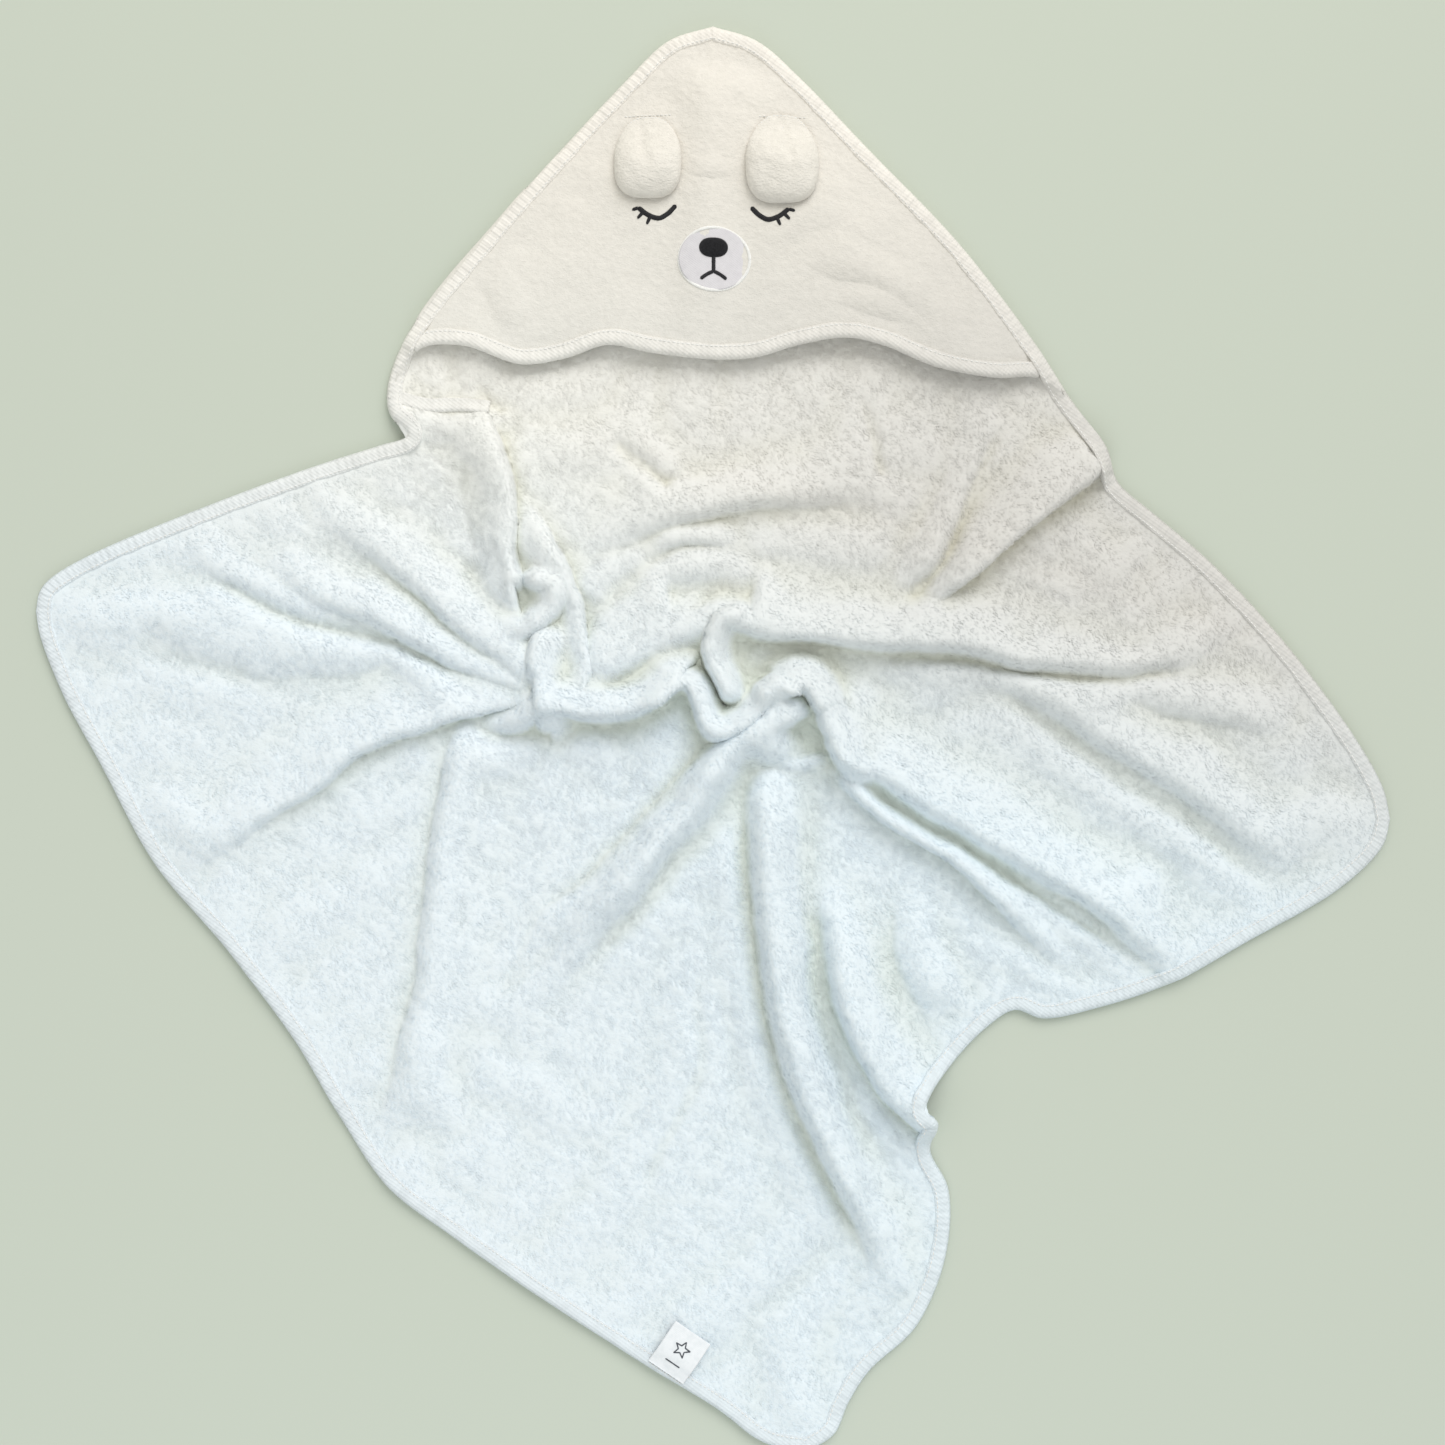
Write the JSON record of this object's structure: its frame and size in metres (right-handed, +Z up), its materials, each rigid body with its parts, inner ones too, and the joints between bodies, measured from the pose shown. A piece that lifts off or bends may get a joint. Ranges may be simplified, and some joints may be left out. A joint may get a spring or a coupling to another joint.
{
  "type": "hooded baby towel",
  "caption": "Square terry towel with a bound edge, laid in soft folds, with a pocket hood that carries a sleeping animal face and two stuffed ears.",
  "frame": {"origin": "middle of the laid towel's outline, on the surface it lies on", "axes": "+Z up, +Y towards the hood's tip, +X to the right of the face"},
  "size_m": [0.9597, 1.0103, 0.0346],
  "materials": {
    "terry": "deep terry pile",
    "hood_terry": "short terry pile",
    "ear_plush": "fluffy plush",
    "binding_tape": "woven bias tape",
    "white_thread": "sewing thread",
    "black_thread": "satin stitch",
    "patch_cloth": "smooth applique cloth",
    "stabiliser": "thin non-woven",
    "stuffing": "fibre filling",
    "label_tape": "woven satin tape",
    "label_yarn": "woven motif"
  },
  "bodies": {
    "towel": {"towel_body": "terry", "towel_head_corner": "terry", "edge_binding": "binding_tape", "edge_topstitch": "white_thread", "label_tack_stitch": "white_thread"},
    "hood": {"hood_panel": "hood_terry", "hood_front_binding": "binding_tape", "hood_front_topstitch": "white_thread", "face_backing": "stabiliser", "left_eye_embroidery": "black_thread", "right_eye_embroidery": "black_thread", "muzzle_patch": "patch_cloth", "muzzle_border_stitch": "white_thread", "nose_embroidery": "black_thread", "mouth_embroidery": "black_thread", "left_ear_base_stitch": "white_thread", "right_ear_base_stitch": "white_thread"},
    "left_ear": {"left_ear_front": "ear_plush", "left_ear_back": "ear_plush", "left_ear_filling": "stuffing", "left_ear_seam": "white_thread"},
    "right_ear": {"right_ear_front": "ear_plush", "right_ear_back": "ear_plush", "right_ear_filling": "stuffing", "right_ear_seam": "white_thread"},
    "side_label": {"side_label": "label_tape", "label_motif": "label_yarn"}
  },
  "joints": [
    {"name": "hood_opening", "type": "hinge", "parent": "towel", "child": "hood", "pos_m": [0, 0.4949, 0.0063], "axis": [-1, 0, 0], "range_deg": [0, 30]},
    {"name": "left_ear_flap", "type": "hinge", "parent": "hood", "child": "left_ear", "pos_m": [-0.04691, 0.4418, 0.0186], "axis": [-1, 0, 0], "range_deg": [0, 120]},
    {"name": "right_ear_flap", "type": "hinge", "parent": "hood", "child": "right_ear", "pos_m": [0.04809, 0.4408, 0.0186], "axis": [-1, 0, 0], "range_deg": [0, 120]},
    {"name": "label_flap", "type": "hinge", "parent": "towel", "child": "side_label", "pos_m": [-0.03436, -0.44916, 0.0075], "axis": [0.8267, -0.5627, 0], "range_deg": [0, 150]}
  ]
}
